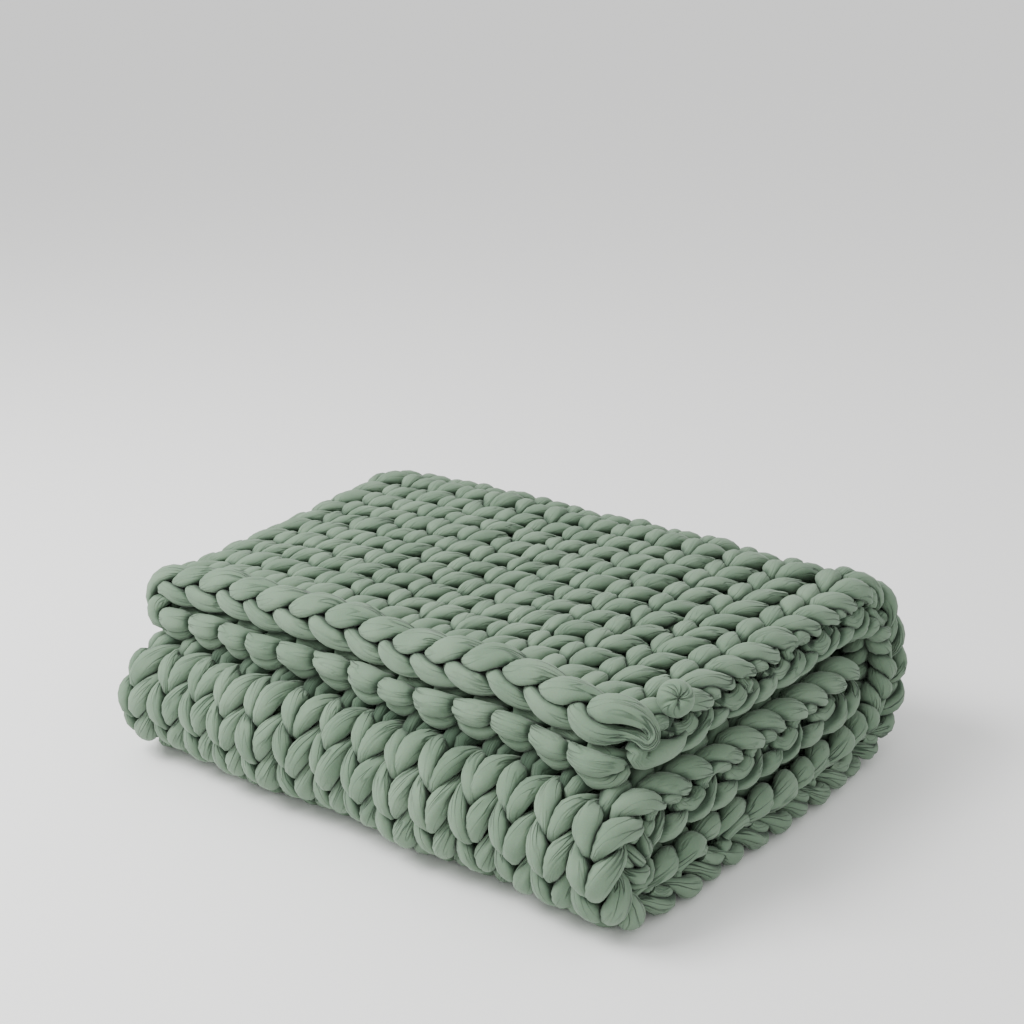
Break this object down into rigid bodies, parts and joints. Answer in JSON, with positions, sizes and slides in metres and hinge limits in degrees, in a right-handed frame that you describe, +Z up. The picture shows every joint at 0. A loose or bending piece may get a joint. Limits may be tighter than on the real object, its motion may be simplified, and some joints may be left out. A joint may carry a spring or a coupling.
{
  "type": "weighted blanket",
  "caption": "Chunky hand-knit weighted blanket in sage green jersey yarn, doubled and folded in thirds into a flat pile.",
  "frame": {"origin": "middle of the folded pile's footprint, on the surface it lies on", "axes": "+X along the long folded edge towards the open side edges, +Y from the front fold to the back fold, +Z up"},
  "size_m": [0.6798, 0.5428, 0.2159],
  "materials": {
    "jersey_yarn": "matte sage-green cotton jersey tube yarn, stuffed, knitted in thick stitches"
  },
  "bodies": {
    "root": {"knit_blanket": "jersey_yarn"}
  },
  "joints": []
}
